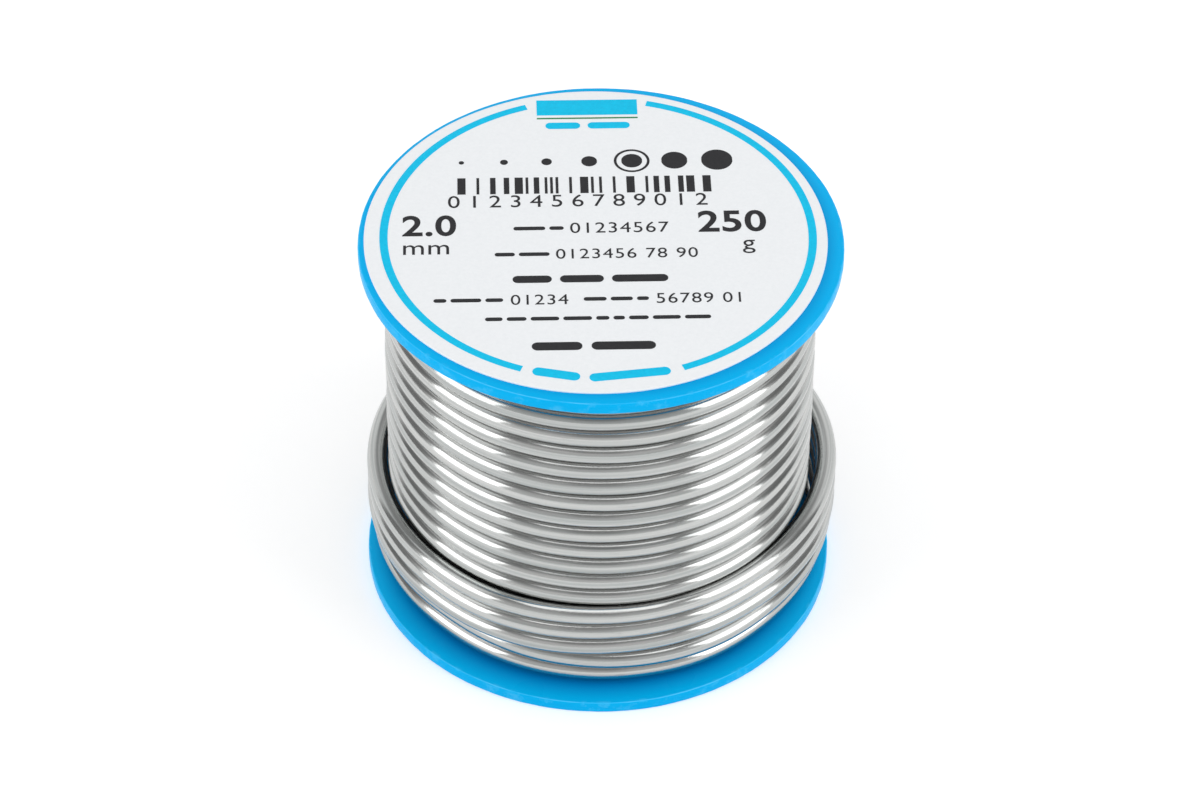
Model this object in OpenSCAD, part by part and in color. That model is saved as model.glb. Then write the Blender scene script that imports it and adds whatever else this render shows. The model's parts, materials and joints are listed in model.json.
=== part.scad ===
// Solder wire spool: a moulded spool of two halves, a paper disc on top, and soft solder
// wire wound on it in layers. The outermost layer runs down from the upper flange to the lower
// one, turn beside turn, and its last turns have come loose and stand off at the sides.
// Millimetres. +Z is the spool's axis and Z = 0 the face that it stands on.
// Turns are counted from u = 0, where the wire passes the front (-Y) for the first time.

/* [Spool] */
// Diameter of both flanges
flange_d = 45.4; // [42:0.1:60]
// Thickness of a flange
flange_t = 1.25; // [1:0.05:2]
// Radius on the edges of a flange's rim
rim_r = 0.3; // [0.1:0.05:0.45]
// Height of the spool over both flanges
spool_h = 40; // [34:0.5:42]
// Depth from the rim to the centre line of the outermost layer
rim_depth = 3.23; // [2.9:0.01:4]
// Wall of the barrel
barrel_wall = 1.5; // [1.2:0.1:2]

/* [Hub] */
// Diameter of the arbor bore that a spindle goes through
bore_d = 10; // [8:0.5:11]
// Wall of the arbor tube
arbor_wall = 1.5; // [1.2:0.1:2]
// Number of ribs between arbor tube and barrel
rib_count = 6; // [3:1:8]
// Thickness of a rib
rib_t = 1.2; // [0.8:0.1:1.6]
// Depth of the ribs' feet below the face that the spool stands on
rib_inset = 1; // [0.5:0.1:3]

/* [Joint of the halves] */
// Height of the joint above the face that the spool stands on
split_h = 20; // [14:0.5:24]
// Length of the lower half's spigot
spigot_l = 3; // [2:0.5:5]
// Clearance all round the spigot and round the arbor tube's upper end
fit_gap = 0.1; // [0.05:0.05:0.2]

/* [Label] */
// Blue margin that the paper disc leaves at the rim
label_margin = 1.05; // [0.8:0.05:4]
// Thickness of the paper disc with its adhesive
label_t = 0.15; // [0.1:0.05:0.3]
// Offset of the disc to the left, as it was stuck on
label_shift_x = -0.5; // [-0.6:0.1:0.6]
// Offset of the disc to the back
label_shift_y = 0.3; // [-0.4:0.1:0.4]

/* [Wire] */
// Diameter of the solder wire
wire_d = 2; // [1.8:0.05:2.05]
// Slack between neighbouring turns of a layer
turn_slack = 0.03; // [0:0.01:0.1]
// Slack between a layer and the one under it
layer_slack = 0.02; // [0:0.01:0.06]
// Number of layers under the outermost one
hidden_layers = 4; // [3:1:4]
// Turns at the lower end that have come loose
loose_turns = 5; // [3:1:6]
// How far the loose turns stand off all round
loose_out = 1.13; // [0.7:0.01:1.2]
// How far they are pressed back in at the front
front_press = 0.58; // [0:0.01:0.6]
// How far they stand off further at the back
back_out = 3.05; // [0:0.05:3.2]
// Share by which the right side stands off more than the left one
side_lean = 0.2; // [0:0.01:0.3]
// Drop of the first turn at the front below the upper flange
first_drop = 0.67; // [0.5:0.01:1]
// Share of a turn's step that lies at the back, away from the nearly level front
back_share = 0.8; // [0:0.05:0.9]
// Gap left between the drawn turns
turn_gap = 0.43; // [0.41:0.01:0.6]
// Part of a turn between the wire's start on this layer and the front
start_share = 0.3; // [0.25:0.01:0.4]
// Part of a turn between the last passing of the front and the free end
end_share = 0.32; // [0.25:0.01:0.34]
// Bend where the wire comes up from the layer below
start_bend = 1.2; // [1:0.05:1.6]
// Gap between the wire's first end, inside the barrel, and the arbor tube
tail_gap = 1; // [0.5:0.1:2]

/* [Hidden] */

plastic_blue = [0.00, 0.62, 0.90];
paper_white = [0.93, 0.95, 0.96];
solder_grey = [0.72, 0.73, 0.73];

rings_per_turn = 24;
wire_sides = 6;
bend_steps = 3;
cut = 1;                      // overlength of a cutter past the face that it cuts
seat_gap = 0.1;               // wire to flange and wire to barrel
skin_gap = 0.2;               // plain core to the drawn turns round it
pocket_gap = 0.2;             // round the wire's ends in their holes
du = 0.01;                    // step, in turns, for a direction along the wire
facets = 128;

flange_r = flange_d/2;
bore_r = bore_d/2;
arbor_r = bore_r + arbor_wall;
wire_r = wire_d/2;
pitch = wire_d + turn_slack;
draw_d = pitch - turn_gap;
draw_r = draw_d/2;

// each layer lies in the grooves of the one under it, so the layers' depth sets the barrel
layer_step = sqrt(wire_d*wire_d - pitch*pitch/4) + layer_slack;
visible_r = flange_r - rim_depth;
barrel_r = visible_r - hidden_layers*layer_step - wire_r;
barrel_in_r = barrel_r - barrel_wall;
spigot_r = barrel_r - barrel_wall/2 - fit_gap/2;
core_in_r = barrel_r + seat_gap;
core_r = (visible_r - draw_r)*cos(180/rings_per_turn) - skin_gap;
tail_z = spool_h - flange_t - wire_r - seat_gap;

// heights of the outermost layer, from its first turn to the one that lies on the lower flange
z_first = spool_h - flange_t - wire_r - first_drop;
z_lowest = flange_t + wire_r + 3*seat_gap;
z_floor = flange_t + wire_r + layer_slack;
last_turn = floor((z_first - z_lowest)/pitch);
u_start = -start_share;
u_end = last_turn + end_share;

// share of the layer's travel done after u turns: slow at the front, quick at the back
function travel(u) = u - back_share*sin(360*u)/(2*PI);
function wind_z(u) = max(z_floor, z_first - pitch*travel(u));

// where the flange leaves no room below the turn before it, the wire tucks in behind it
function beside(u) = wind_z(u - 1) - wind_z(u);
function tucked(u) = sqrt(max(0, pitch*pitch - beside(u)*beside(u)));

// where the loose turns leave the barrel and come back to it: from turn, to turn, by how much
slack_d = 0.88;
slack_e = 0.42;
u_loose = last_turn - loose_turns + 0.35;
slack_steps = [
    [u_loose, u_loose + 0.4, loose_out],
    [last_turn - 1.30, last_turn - 1.10, -loose_out],
    [last_turn - 1.20, last_turn - 0.83, slack_d],
    [last_turn - 0.33, last_turn - 0.09, -slack_d],
    [last_turn - 0.04, last_turn + 0.18, slack_e]];
side_from = 42;               // degrees from the front where the loops start to stand off
side_to = 150;                // and where they stand off fully
press_turn = 0.052;           // middle and half width, in turns, of the pressed place
press_width = 0.107;

// 0 before from, 1 after to, and smooth between
function ease(v, from, to) = let (t = min(1, max(0, (v - from)/(to - from)))) t*t*(3 - 2*t);
function from_front(u) = u - round(u);
function loose(u) = ease(u, u_loose, u_loose + 0.4);
function slack(u) = [for (s = slack_steps) s[2]]*[for (s = slack_steps) ease(u, s[0], s[1])];
function pressed(u) = front_press*exp(-pow((from_front(u) - press_turn)/press_width, 2))
    *(1 - ease(u, last_turn - 1.6, last_turn - 1.4));
function sideways(u) = back_out*ease(abs(360*from_front(u)), side_from, side_to)
    *(1 + side_lean*sin(360*u));
function stand_off(u) = slack(u) + loose(u)*(sideways(u) - pressed(u));
function wind_r(u) = visible_r + stand_off(u) - tucked(u);

function unit(v) = v/norm(v);
function around(r, a, z) = [r*cos(a), r*sin(a), z];
function front_angle(u) = 360*u - 90;
function wind_pt(u) = around(wind_r(u), front_angle(u), wind_z(u));
function wind_dir(u) = unit(wind_pt(u + du) - wind_pt(u - du));

// stations [point, direction]: straight out of the layer below, a bend, the turns, the free end
start_a = front_angle(u_start);
start_out = around(1, start_a, 0);
start_side = around(1, start_a + 90, 0);
start_z = [0, 0, wind_z(u_start)];
bend_r0 = visible_r - start_bend;
pocket_r = bend_r0 - draw_d;
start_run = [for (r = [pocket_r, bend_r0]) [r*start_out + start_z, start_out]];
bend_run = [for (k = [1 : bend_steps]) let (b = 90*k/bend_steps)
    [(bend_r0 + start_bend*sin(b))*start_out + start_bend*(1 - cos(b))*start_side + start_z,
     cos(b)*start_out + sin(b)*start_side]];
turn_run = [for (k = [1 : floor((u_end - u_start)*rings_per_turn)])
    let (u = u_start + k/rings_per_turn) [wind_pt(u), wind_dir(u)]];
last = turn_run[len(turn_run) - 1];
end_run = [[last[0] + draw_d*last[1], last[1]]];
stations = concat(start_run, bend_run, turn_run, end_run);

function ring(s) = let (n = unit(cross(s[1], [0, 0, 1])), b = cross(n, s[1]))
    [for (j = [0 : wire_sides - 1]) let (a = 360*j/wire_sides) s[0] + draw_r*(cos(a)*n + sin(a)*b)];

function side_faces(rings, m) = [for (i = [0 : rings - 2], j = [0 : m - 1])
    let (a = i*m + j, b = i*m + (j + 1)%m) each [[a, b, b + m], [a, b + m, a + m]]];
function cap_faces(rings, m) = let (e = (rings - 1)*m)
    [for (j = [1 : m - 2]) each [[0, j + 1, j], [e, e + j, e + j + 1]]];

// least distance between centre lines of different turns, less the drawn diameter
least_gap = min([for (i = [0 : len(turn_run) - 1], k = [1 : ceil(u_end)], d = [-1 : 1])
    let (j = i + k*rings_per_turn + d)
    if (j < len(turn_run)) norm(turn_run[j][0] - turn_run[i][0]) - draw_d]);
echo(str("turns drawn: ", (len(turn_run) - 1)/rings_per_turn));
echo(str("least gap of the winding to itself, mm: ", least_gap));

module tube(outer_r, inner_r, z0, z1) {
    translate([0, 0, z0])
        difference() {
            cylinder(h = z1 - z0, r = outer_r, $fn = facets);
            translate([0, 0, -cut])
                cylinder(h = z1 - z0 + 2*cut, r = inner_r, $fn = facets);
        }
}

// flange with a rounded rim, from inner_r to its edge, standing on Z = 0
module flange(inner_r) {
    steps = 6;
    lower = [for (k = [0 : steps]) let (a = -90 + 90*k/steps)
        [flange_r - rim_r + rim_r*cos(a), rim_r + rim_r*sin(a)]];
    upper = [for (k = [0 : steps]) let (a = 90*k/steps)
        [flange_r - rim_r + rim_r*cos(a), flange_t - rim_r + rim_r*sin(a)]];
    rotate_extrude($fn = facets)
        polygon(concat([[inner_r, 0]], lower, upper, [[inner_r, flange_t]]));
}

// lower flange, lower part of the barrel with its spigot, full-length arbor tube and ribs
module lower_half() {
    color(plastic_blue)
        union() {
            flange(barrel_in_r);
            tube(barrel_r, barrel_in_r, 0, split_h);
            tube(spigot_r, barrel_in_r, split_h - cut, split_h + spigot_l);
            tube(arbor_r, bore_r, 0, spool_h);
            for (k = [0 : rib_count - 1])
                rotate([0, 0, 360*k/rib_count])
                    translate([arbor_r - cut/4, -rib_t/2, rib_inset])
                        cube([barrel_in_r - arbor_r + cut/2, rib_t, split_h - rib_inset]);
        }
}

// upper flange, closed down to the arbor tube, and the upper part of the barrel with its socket
module upper_half() {
    color(plastic_blue)
        difference() {
            union() {
                translate([0, 0, spool_h - flange_t])
                    flange(arbor_r + fit_gap);
                tube(barrel_r, barrel_in_r, split_h, spool_h - flange_t/2);
            }
            translate([0, 0, split_h - cut])
                cylinder(h = spigot_l + fit_gap + cut, r = spigot_r + fit_gap, $fn = facets);
            translate([barrel_in_r - cut, 0, tail_z])
                rotate([0, 90, 0])
                    cylinder(h = barrel_wall + 2*cut, r = wire_r + pocket_gap, $fn = 48);
        }
}

// paper disc stuck on the upper flange
module label() {
    color(paper_white)
        translate([label_shift_x, label_shift_y, spool_h])
            cylinder(h = label_t, r = flange_r - label_margin, $fn = facets);
}

// the layers under the outermost one, plain, with the hole that the winding comes up through
module inner_layers() {
    color(solder_grey)
        difference() {
            tube(core_r, core_in_r, flange_t + seat_gap, spool_h - flange_t - seat_gap);
            translate([0, 0, wind_z(u_start)])
                rotate([0, 0, start_a])
                    translate([pocket_r, 0, 0])
                        rotate([0, 90, 0])
                            cylinder(h = core_r - pocket_r + cut, r = draw_r + pocket_gap, $fn = 48);
        }
}

// the outermost layer with its loose turns, one unbroken tube
module winding() {
    color(solder_grey)
        polyhedron(points = [for (s = stations) each ring(s)],
            faces = concat(side_faces(len(stations), wire_sides), cap_faces(len(stations), wire_sides)));
}

// the wire's first end, threaded through the barrel's wall before winding
module wire_start() {
    color(solder_grey)
        translate([arbor_r + tail_gap, 0, tail_z])
            rotate([0, 90, 0])
                cylinder(h = barrel_r - arbor_r - tail_gap, r = wire_r, $fn = 48);
}

lower_half();
upper_half();
label();
inner_layers();
winding();
wire_start();
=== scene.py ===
# %% [markdown]
# # A spool of solder wire
# The object is a small moulded spool, a paper disc stuck on its upper flange, and some metres of
# soft, bright solder wire wound on it in layers. The solids come from the CAD frame. This
# script gives them their looks: every piece that shows is rebuilt here as a fine surface, at
# the place and size that the frame gives it, and each gets a procedural material.
#
# The script is read from top to bottom: sizes, small mesh helpers, the wire, the spool, the
# paper disc and its print, then materials, studio and camera.

# %% Load the frame
import json
import math

import bpy
import numpy as np
from mathutils import Matrix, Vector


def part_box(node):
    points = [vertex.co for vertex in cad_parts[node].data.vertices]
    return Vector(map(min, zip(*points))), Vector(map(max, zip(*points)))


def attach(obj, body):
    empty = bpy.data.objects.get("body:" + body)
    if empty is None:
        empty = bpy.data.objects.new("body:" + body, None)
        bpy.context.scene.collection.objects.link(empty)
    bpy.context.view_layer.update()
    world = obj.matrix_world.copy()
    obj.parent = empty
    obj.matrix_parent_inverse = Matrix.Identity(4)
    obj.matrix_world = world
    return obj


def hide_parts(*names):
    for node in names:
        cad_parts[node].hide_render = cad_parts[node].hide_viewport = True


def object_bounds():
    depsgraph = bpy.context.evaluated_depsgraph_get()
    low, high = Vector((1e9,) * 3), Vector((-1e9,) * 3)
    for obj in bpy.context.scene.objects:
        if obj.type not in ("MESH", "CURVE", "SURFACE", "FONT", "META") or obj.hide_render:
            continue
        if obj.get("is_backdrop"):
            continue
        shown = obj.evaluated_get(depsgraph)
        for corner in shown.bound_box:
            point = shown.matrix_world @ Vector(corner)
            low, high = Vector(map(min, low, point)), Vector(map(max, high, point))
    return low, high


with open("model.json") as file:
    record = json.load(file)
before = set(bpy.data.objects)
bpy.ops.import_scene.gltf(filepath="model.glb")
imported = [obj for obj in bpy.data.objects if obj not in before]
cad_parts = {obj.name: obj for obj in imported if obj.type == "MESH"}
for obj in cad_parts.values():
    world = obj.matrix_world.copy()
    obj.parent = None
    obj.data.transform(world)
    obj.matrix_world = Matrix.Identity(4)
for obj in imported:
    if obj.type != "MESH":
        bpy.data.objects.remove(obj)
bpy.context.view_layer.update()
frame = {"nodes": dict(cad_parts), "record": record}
MM = 0.001
print("nodes of the frame:", ", ".join(sorted(frame["nodes"])))

# %% [markdown]
# ## Sizes
# The overall sizes are read off the frame's boxes, so that the pieces follow the solids. What a
# box can't give, such as the wire's diameter or the slack between two turns, is written here
# once, as a real size.

# %% Sizes from the frame
upper_low, upper_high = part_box("upper_half")
layers_low, layers_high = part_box("inner_layers")
label_low, label_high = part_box("label")

FLANGE_R = upper_high.x
SPOOL_H = upper_high.z
FLANGE_T = 1.25 * MM
SPLIT_H = upper_low.z
LABEL_R = (label_high.x - label_low.x) / 2
LABEL_X = (label_high.x + label_low.x) / 2
LABEL_Y = (label_high.y + label_low.y) / 2
LABEL_TOP = label_high.z
BORE_R = frame["record"]["mounts"][0]["dims"]["r_mm"] * MM
print(f"flange radius {FLANGE_R / MM:.2f} mm, height {SPOOL_H / MM:.2f} mm, bore {BORE_R / MM:.2f} mm")

# %% Sizes of the wire and the barrel
WIRE_D = 2.0 * MM
WIRE_R = WIRE_D / 2
PITCH = WIRE_D + 0.03 * MM
LAYER_STEP = math.sqrt(WIRE_D**2 - PITCH**2 / 4) + 0.02 * MM
HIDDEN_LAYERS = 4
RIM_DEPTH = 3.23 * MM
VISIBLE_R = FLANGE_R - RIM_DEPTH
BARREL_R = VISIBLE_R - HIDDEN_LAYERS * LAYER_STEP - WIRE_R
WALL = 1.5 * MM
BARREL_IN_R = BARREL_R - WALL
ARBOR_R = BORE_R + WALL
FIT_GAP = 0.1 * MM
print(f"visible layer's radius {VISIBLE_R / MM:.2f} mm, barrel {2 * BARREL_R / MM:.2f} mm across")

# %% [markdown]
# ## Mesh helpers
# A surface here is a grid of points worked out from two parameters. `grid_faces` joins such a
# grid into quads, `shell` turns the faces round if the volume that they enclose comes out
# negative, and `make_piece` makes one object from closed shells. Working on whole arrays keeps
# the script short, where Blender's own primitives would each need moving, joining and cleaning.

# %% Faces of a grid
def grid_faces(rows, cols, close_rows=False, close_cols=False, first=0):
    """Quads between the neighbours of a rows x cols grid whose points are numbered row by row."""
    i = np.arange(rows if close_rows else rows - 1)[:, None]
    j = np.arange(cols if close_cols else cols - 1)[None, :]
    i2, j2 = (i + 1) % rows, (j + 1) % cols
    quads = np.stack([i * cols + j, i2 * cols + j, i2 * cols + j2, i * cols + j2], axis=-1)
    return quads.reshape(-1, 4) + first


def enclosed_volume(points, quads):
    """Sum over the faces of a . (b x c) / 6, split into triangles: positive if they face outwards."""
    a, b, c, d = (points[quads[:, k]] for k in range(4))
    return (np.einsum("ij,ij->i", a, np.cross(b, c)) + np.einsum("ij,ij->i", a, np.cross(c, d))).sum() / 6


# %% Shells and pieces
def shell(points, quads):
    """A closed surface, as (points, quads), turned so that its faces point outwards."""
    points = np.asarray(points, float).reshape(-1, 3)
    return (points, quads) if enclosed_volume(points, quads) > 0 else (points, quads[:, ::-1])


def make_piece(name, shells, smooth_deg=40):
    """One object from closed shells, riding on the spool's only body, in the row frame."""
    points, faces, first = [], [], 0
    for shell_points, shell_quads in shells:
        points.append(shell_points)
        faces.append(shell_quads + first)
        first += len(shell_points)
    mesh = bpy.data.meshes.new(name)
    mesh.from_pydata(np.vstack(points).tolist(), [], np.vstack(faces).tolist())
    mesh.validate()
    mesh.shade_smooth()
    mesh.set_sharp_from_angle(angle=math.radians(smooth_deg))
    piece = bpy.data.objects.new(name, mesh)
    bpy.context.scene.collection.objects.link(piece)
    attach(piece, "root")
    print(f"{name}: {len(mesh.polygons)} faces")
    return piece


# %% [markdown]
# ## The wire's path
# The wire comes up from the layer below under the upper flange and runs down to the lower one,
# turn beside turn. Round the front each turn lies nearly level, and it takes most of its step
# at the back, as wire does on a wound spool. The last turns have come loose: they are pressed
# back in at the front, stand off at the sides and hang out at the back, until the wire's end
# lies on the lower flange.
#
# A turn number u is the path's parameter: whole numbers are at the front. Height and radius are
# functions of u, as in the solids. Three small things are only here: the loose turns lie
# LOOSE_LIFT higher, the wire wanders a little, and its end lies a little further round. The
# slack is a sum of smooth steps, each from one turn number to another.

# %% Path of the wire
START_U = -0.30
Z_FIRST = SPOOL_H - FLANGE_T - WIRE_R - 0.67 * MM
Z_LOWEST = FLANGE_T + WIRE_R + 0.3 * MM
Z_FLOOR = FLANGE_T + WIRE_R + 0.02 * MM
LAST_TURN = math.floor((Z_FIRST - Z_LOWEST) / PITCH)
END_U = LAST_TURN + 0.36
BACK_SHARE = 0.8
LOOSE_FROM = LAST_TURN - 5 + 0.35
SLACK_STEPS = [
    (LOOSE_FROM, LOOSE_FROM + 0.4, 1.13 * MM),
    (LAST_TURN - 1.30, LAST_TURN - 1.10, -1.13 * MM),
    (LAST_TURN - 1.20, LAST_TURN - 0.83, 0.88 * MM),
    (LAST_TURN - 0.33, LAST_TURN - 0.09, -0.88 * MM),
    (LAST_TURN - 0.04, LAST_TURN + 0.18, 0.42 * MM),
]
BACK_OUT, BACK_FROM, BACK_TO = 3.05 * MM, 42 / 360, 150 / 360
SIDE_LEAN = 0.2
LOOSE_LIFT = 0.07 * MM
PRESS_IN, PRESS_AT, PRESS_WIDTH = 0.58 * MM, 0.052, 0.107


def smooth(value, start, stop):
    """0 before start, 1 after stop, and 3 t^2 - 2 t^3 between."""
    t = np.clip((value - start) / (stop - start), 0, 1)
    return t * t * (3 - 2 * t)


def wire_z(u):
    """One pitch down a turn, quick at the back, loose turns a little higher, never into the flange."""
    travel = u - BACK_SHARE * np.sin(2 * np.pi * u) / (2 * np.pi)
    settled = LOOSE_LIFT * smooth(u, LOOSE_FROM, LOOSE_FROM + 0.4)
    return np.maximum(Z_FLOOR, Z_FIRST - PITCH * travel + settled)


def wander(u):
    """Soft wire never lies perfectly round: a sum of sines of unrelated frequencies, under 0.06 mm."""
    rng = np.random.default_rng(12)
    freqs = np.array([2.3, 4.7, 7.9, 11.3, 17.1])
    heights = np.array([0.018, 0.014, 0.012, 0.008, 0.005]) * MM
    phases = rng.uniform(0, 2 * np.pi, len(freqs))
    return (heights * np.sin(2 * np.pi * np.asarray(u)[..., None] * freqs + phases)).sum(axis=-1)


def stand_off(u):
    """Distance of the loose turns from the layer: slack, bow to the back, less the pressed place."""
    off_front = u - np.round(u)
    slack = sum(by * smooth(u, start, stop) for start, stop, by in SLACK_STEPS)
    bow = BACK_OUT * smooth(np.abs(off_front), BACK_FROM, BACK_TO) * (1 + SIDE_LEAN * np.sin(2 * np.pi * u))
    pressed = PRESS_IN * np.exp(-(((off_front - PRESS_AT) / PRESS_WIDTH) ** 2))
    pressed = pressed * (1 - smooth(u, LAST_TURN - 1.6, LAST_TURN - 1.4))
    return slack + smooth(u, LOOSE_FROM, LOOSE_FROM + 0.4) * (bow - pressed)


def wire_radius(u):
    """The layer's radius and the stand-off; the end tucks in behind the turn before it."""
    beside = wire_z(u - 1) - wire_z(u)
    tucked = np.sqrt(np.maximum(0, PITCH**2 - beside**2)) * smooth(u, LAST_TURN - 0.7, LAST_TURN - 0.5)
    return VISIBLE_R + stand_off(u) - tucked + wander(u)


def wire_point(u):
    """Centre line of the wire: (r cos a, r sin a, z) at a = 360 u - 90 degrees."""
    a = 2 * np.pi * u - np.pi / 2
    return np.stack([wire_radius(u) * np.cos(a), wire_radius(u) * np.sin(a), wire_z(u)], axis=-1)


print(f"turns: {END_U - START_U:.2f}, of which {LAST_TURN + 1} pass the front")

# %% [markdown]
# ## The winding
# The visible wire is one tube carried along the path. Its cross-section stays a true circle of
# the wire's diameter. The pitch leaves 0.03 mm between neighbouring turns, too little to be
# seen, so they look as if they touched. The first end dips into the layer below. The free end
# lies on the lower flange, at the right and towards the back, and is cut square, which shows the
# resin core in its middle.
#
# Each face corner also gets a UV place: the length along the wire and the way round it, both in
# metres. The drawing lines of the finish follow it. The seam of that map runs along the inner
# side, which shows only where the loose turns hang out.

# %% Stations along the wire
RINGS_PER_TURN = 144
WIRE_SIDES = 20
START_BEND = 1.2 * MM


def station_run():
    """Centre points and directions: out of the layer below, round a bend, along the turns, the end."""
    a = 2 * np.pi * START_U - np.pi / 2
    out = np.array([math.cos(a), math.sin(a), 0.0])
    side = np.array([-math.sin(a), math.cos(a), 0.0])
    base = np.array([0.0, 0.0, float(wire_z(np.array(START_U)))])
    r0 = VISIBLE_R - START_BEND
    b = np.linspace(0, np.pi / 2, 9)[:, None]
    stub = base + (r0 - WIRE_D) * out
    bend = base + (r0 + START_BEND * np.sin(b)) * out + START_BEND * (1 - np.cos(b)) * side
    bend_way = np.cos(b) * out + np.sin(b) * side
    u = np.arange(START_U + 0.03, END_U, 1 / RINGS_PER_TURN)
    turns = wire_point(u)
    way = wire_point(u + 0.001) - wire_point(u - 0.001)
    way /= np.linalg.norm(way, axis=1, keepdims=True)
    end = turns[-1] + way[-1] * WIRE_D
    points = np.vstack([stub[None], bend, turns, end[None]])
    ways = np.vstack([out[None], bend_way, way, way[-1:]])
    return points, ways


def tube_rings(points, ways, radius, sides, seam_inwards=True):
    """Circles round each station: radius * (cos t * n + sin t * b), n level and b = n x way."""
    up = np.array([0.0, 0.0, 1.0])
    n = np.cross(ways, up)
    n /= np.linalg.norm(n, axis=1, keepdims=True)
    b = np.cross(n, ways)
    t = 2 * np.pi * np.arange(sides) / sides + (np.pi if seam_inwards else 0)
    radius = np.broadcast_to(np.asarray(radius, float), len(points))
    ring = n[:, None] * np.cos(t)[None, :, None] + b[:, None] * np.sin(t)[None, :, None]
    return points[:, None] + radius[:, None, None] * ring


# %% Build the winding
CORE_R = 0.36 * MM
CORE_INSET = 0.06 * MM
ROUND_END = 0.08 * MM


def closed_tube(rings):
    """Quads of a tube whose first and last ring are each drawn together to a point."""
    rows, cols = rings.shape[:2]
    return shell(rings, grid_faces(rows, cols, close_cols=True))


centre, way = station_run()
end, end_way = centre[-1], way[-1]
core_share = CORE_R / WIRE_R
core_floor = -3 * CORE_INSET
cap_steps = [(ROUND_END, 0.97), (ROUND_END, core_share), (core_floor, core_share), (core_floor, 0.0)]
cap_centre = np.array([end + end_way * step for step, share in cap_steps])
tube_centre = np.vstack([centre[:1], centre, cap_centre])
tube_way = np.vstack([way[:1], way, np.repeat(end_way[None], len(cap_steps), axis=0)])
cap_radius = [share * WIRE_R for step, share in cap_steps]
tube_radius = np.concatenate([[0.0], np.full(len(centre), WIRE_R), cap_radius])
rings = tube_rings(tube_centre, tube_way, tube_radius, WIRE_SIDES)
winding = make_piece("wound_wire", [closed_tube(rings)], smooth_deg=60)
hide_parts("winding")
length = np.linalg.norm(np.diff(centre, axis=0), axis=1).sum()
print(f"wire in view: {length:.2f} m")


# %% UV map along the wire
def map_wire(piece, tube_centre, radius, sides):
    """UV of a face corner: (length along the centre line, way round the wire), in metres."""
    rows = len(tube_centre)
    along = np.concatenate([[0], np.cumsum(np.linalg.norm(np.diff(tube_centre, axis=0), axis=1))])
    mesh = piece.data
    corner_vertex = np.zeros(len(mesh.loops), np.int64)
    mesh.loops.foreach_get("vertex_index", corner_vertex)
    row, col = corner_vertex // sides, corner_vertex % sides
    corners = col.reshape(-1, 4)
    wraps = (corners.max(axis=1) - corners.min(axis=1)) > sides // 2
    corners = np.where(wraps[:, None] & (corners == 0), sides, corners).reshape(-1)
    uv = np.stack([along[row], corners * 2 * np.pi * radius / sides], axis=-1)
    mesh.uv_layers.new(name="along_wire").data.foreach_set("uv", uv.astype(np.float32).ravel())


map_wire(winding, tube_centre, WIRE_R, WIRE_SIDES)


# %% Painted shade in the grooves between the turns
def painted_groove_shade(points):
    """Painted shade: 1 where a tight neighbour's surface is under 0.1 mm away, 0 from 0.55 mm on; loose
    turns 0.3.
    """
    x, y, z = points.T
    turn = ((np.arctan2(y, x) + np.pi / 2) / (2 * np.pi)) % 1.0
    u = turn[:, None] + np.arange(-1, LAST_TURN + 1)[None, :]
    away = np.hypot(np.hypot(x, y)[:, None] - wire_radius(u), z[:, None] - wire_z(u))
    away = np.where((u < START_U) | (u > END_U), 1.0, away)
    nearest = np.argsort(away, axis=1)[:, :2]
    second = np.take_along_axis(away, nearest, axis=1)[:, 1]
    off = stand_off(np.take_along_axis(u, nearest, axis=1)).max(axis=1)
    tight = 1 - 0.7 * smooth(off, 0.4 * MM, 1.1 * MM)
    return tight * (1 - smooth(second - WIRE_R, 0.10 * MM, 0.55 * MM))


places = np.empty(len(winding.data.vertices) * 3)
winding.data.vertices.foreach_get("co", places)
groove_shade = painted_groove_shade(places.reshape(-1, 3))
winding.data.attributes.new("groove", "FLOAT", "POINT").data.foreach_set("value", groove_shade.astype(np.float32))
print(f"{(groove_shade > 0.5).mean():.0%} of the wire's surface lies in a groove")

# %% [markdown]
# ## The resin core
# Electronics solder carries a thread of amber flux. It shows only at the cut end: a small disc,
# slightly below the metal, which is a shallow dome of a few rings.

# %% Build the resin core
def domed_disc(centre, way, radius, rise, sides=24, steps=5):
    """Rings of radius * cos s, raised by rise * sin s, for s from 0 to 90 degrees, with a flat back."""
    s = np.linspace(0, np.pi / 2, steps)
    radii = np.concatenate([[0.0], radius * np.cos(s)])
    lift = np.concatenate([[0.0], rise * np.sin(s)])
    points = centre + lift[:, None] * way
    ways = np.repeat(way[None], len(radii), axis=0)
    return closed_tube(tube_rings(points, ways, radii, sides))


core_base = end + end_way * (ROUND_END - 2 * CORE_INSET)
resin = make_piece("resin_core", [domed_disc(core_base, end_way, CORE_R * 0.99, CORE_INSET)])

# %% [markdown]
# ## The layers underneath
# Between the visible turns one could just look down on the layer below. It is a sleeve whose
# outside is ribbed like wound wire: at each angle the radius is the layer's own radius plus the
# height of the nearest round wire, whose turns lie in the grooves of the visible ones.

# %% Build the ribbed sleeve
def ribbed_radius(angle, z):
    """Layer radius + sqrt(wire radius^2 - s^2), with s the distance to the nearest turn's middle."""
    u = (angle + np.pi / 2) / (2 * np.pi)
    middle = wire_z(u) + PITCH / 2
    s = (z - middle + PITCH / 2) % PITCH - PITCH / 2
    return VISIBLE_R - LAYER_STEP + np.sqrt(np.maximum(WIRE_R**2 - s**2, (0.1 * WIRE_R) ** 2))


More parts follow.
